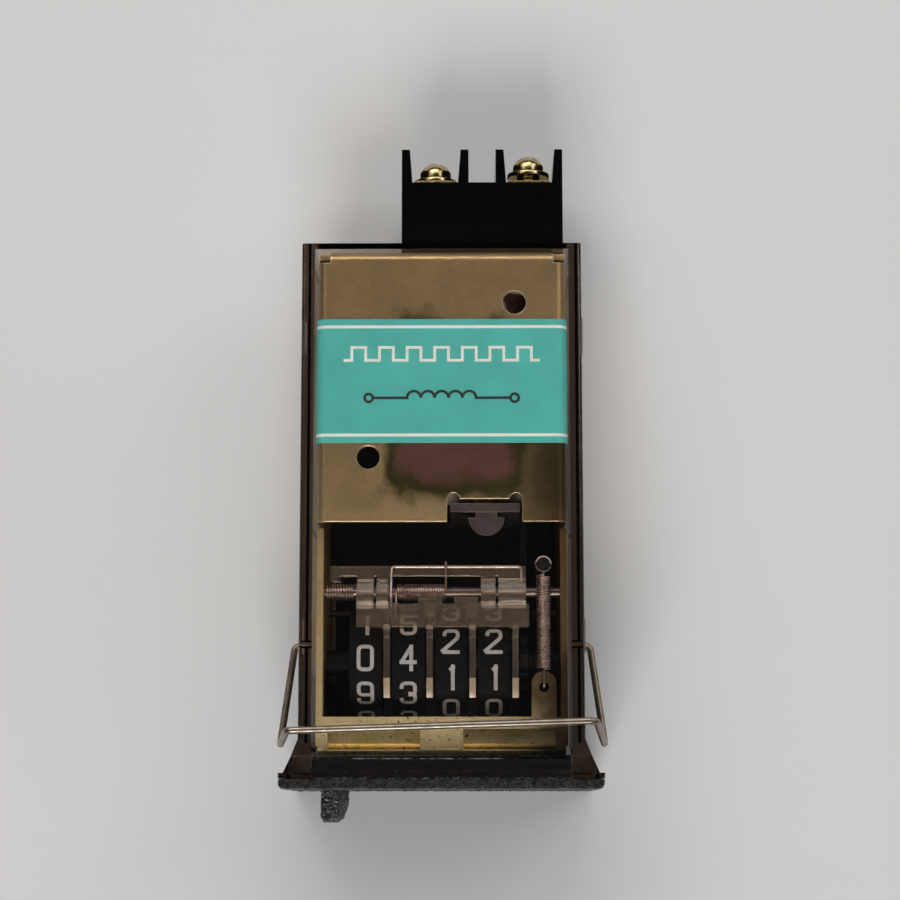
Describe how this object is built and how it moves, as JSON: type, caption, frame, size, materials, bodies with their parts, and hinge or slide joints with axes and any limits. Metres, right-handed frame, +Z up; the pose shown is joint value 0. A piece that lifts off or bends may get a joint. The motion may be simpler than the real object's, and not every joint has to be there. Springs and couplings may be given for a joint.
{
  "type": "panel counter",
  "caption": "Electromagnetic panel counter in a clear smoke case, with number wheels, reset key and comb, coil and yoke, wire mounting bail and screw terminals.",
  "frame": {"origin": "middle of the panel cut-out, in the plane of the panel seat behind the rim", "axes": "+X to the right seen from the front, +Y to the rear into the panel, +Z up"},
  "size_m": [0.0508, 0.104, 0.0336],
  "materials": {
    "clear_smoke": "clear smoke-brown moulding",
    "black_grain": "black with a leather grain",
    "clear_pane": "clear pane",
    "wire": "drawn steel wire",
    "gold_sheet": "steel sheet, yellow passivated zinc",
    "label_foil": "printed teal foil",
    "iron": "ground steel",
    "cream_nylon": "natural nylon",
    "winding_tape": "taped winding",
    "copper": "enamelled copper",
    "spring_wire": "spring wire",
    "black_nylon": "black nylon",
    "wheel_black": "black wheels, light grey numerals",
    "clear_nylon": "clear nylon",
    "black_gloss": "black phenolic",
    "nickel": "nickel on brass"
  },
  "bodies": {
    "housing": {"case": "clear_smoke", "bezel": "black_grain", "display_window": "clear_pane", "main_frame": "gold_sheet", "display_mask": "gold_sheet", "yoke": "gold_sheet", "label": "label_foil", "core": "iron", "bobbin": "cream_nylon", "winding": "winding_tape", "coil_leads": "copper", "armature_spring": "spring_wire", "wheel_shaft": "iron", "wheel_spacers": "black_nylon", "pinion_shaft": "iron", "comb_shaft": "iron", "shaft_spring": "spring_wire", "return_spring": "spring_wire", "terminal_block": "black_gloss", "terminal_plate_left": "nickel", "terminal_plate_right": "nickel", "washer_left": "nickel", "washer_right": "nickel", "terminal_screw_left": "nickel", "terminal_screw_right": "nickel"},
    "bail": {"mounting_bail": "wire"},
    "armature": {"armature": "iron", "drive_lever": "black_nylon"},
    "wheel_1": {"number_wheel_1": "wheel_black"},
    "wheel_2": {"number_wheel_2": "wheel_black"},
    "wheel_3": {"number_wheel_3": "wheel_black"},
    "wheel_4": {"number_wheel_4": "wheel_black", "ratchet_wheel": "black_nylon"},
    "pinion_1": {"carry_pinion_1": "cream_nylon"},
    "pinion_2": {"carry_pinion_2": "cream_nylon"},
    "pinion_3": {"carry_pinion_3": "cream_nylon"},
    "comb": {"reset_comb": "clear_nylon", "comb_torsion_spring": "spring_wire", "comb_wire": "spring_wire"},
    "reset": {"reset_slide": "black_nylon", "reset_key": "black_grain"}
  },
  "joints": [
    {"name": "bail_swing", "type": "hinge", "parent": "housing", "child": "bail", "pos_m": [0, 0.0196, 0], "axis": [-1, 0, 0], "range_deg": [0, 75]},
    {"name": "armature_pull", "type": "hinge", "parent": "housing", "child": "armature", "pos_m": [0.0064, 0.0397, 0.0104], "axis": [1, 0, 0], "range_deg": [0, 5], "stiffness_Nm_per_rad": 0.03, "springref_deg": -11.46, "deforming": ["armature_spring"]},
    {"name": "key_press", "type": "slide", "parent": "housing", "child": "reset", "axis": [0, 1, 0], "range_m": [0, 0.002], "stiffness_N_per_m": 300, "springref_m": -0.003, "deforming": ["return_spring"]},
    {"name": "comb_swing", "type": "hinge", "parent": "housing", "child": "comb", "pos_m": [0, 0.0273, 0.0065], "axis": [1, 0, 0], "range_deg": [0, 12]},
    {"name": "wheel_1_spin", "type": "hinge", "parent": "housing", "child": "wheel_1", "pos_m": [0, 0.017, 0], "axis": [1, 0, 0], "continuous": true},
    {"name": "wheel_2_spin", "type": "hinge", "parent": "housing", "child": "wheel_2", "pos_m": [0, 0.017, 0], "axis": [1, 0, 0], "continuous": true},
    {"name": "wheel_3_spin", "type": "hinge", "parent": "housing", "child": "wheel_3", "pos_m": [0, 0.017, 0], "axis": [1, 0, 0], "continuous": true},
    {"name": "wheel_4_spin", "type": "hinge", "parent": "housing", "child": "wheel_4", "pos_m": [0, 0.017, 0], "axis": [1, 0, 0], "continuous": true},
    {"name": "pinion_1_spin", "type": "hinge", "parent": "housing", "child": "pinion_1", "pos_m": [0, 0.02523, -0.00715], "axis": [1, 0, 0], "continuous": true},
    {"name": "pinion_2_spin", "type": "hinge", "parent": "housing", "child": "pinion_2", "pos_m": [0, 0.02523, -0.00715], "axis": [1, 0, 0], "continuous": true},
    {"name": "pinion_3_spin", "type": "hinge", "parent": "housing", "child": "pinion_3", "pos_m": [0, 0.02523, -0.00715], "axis": [1, 0, 0], "continuous": true}
  ],
  "couplings": [
    {"joint": "comb_swing", "follows": "key_press", "rad_per_m": 104.5}
  ]
}
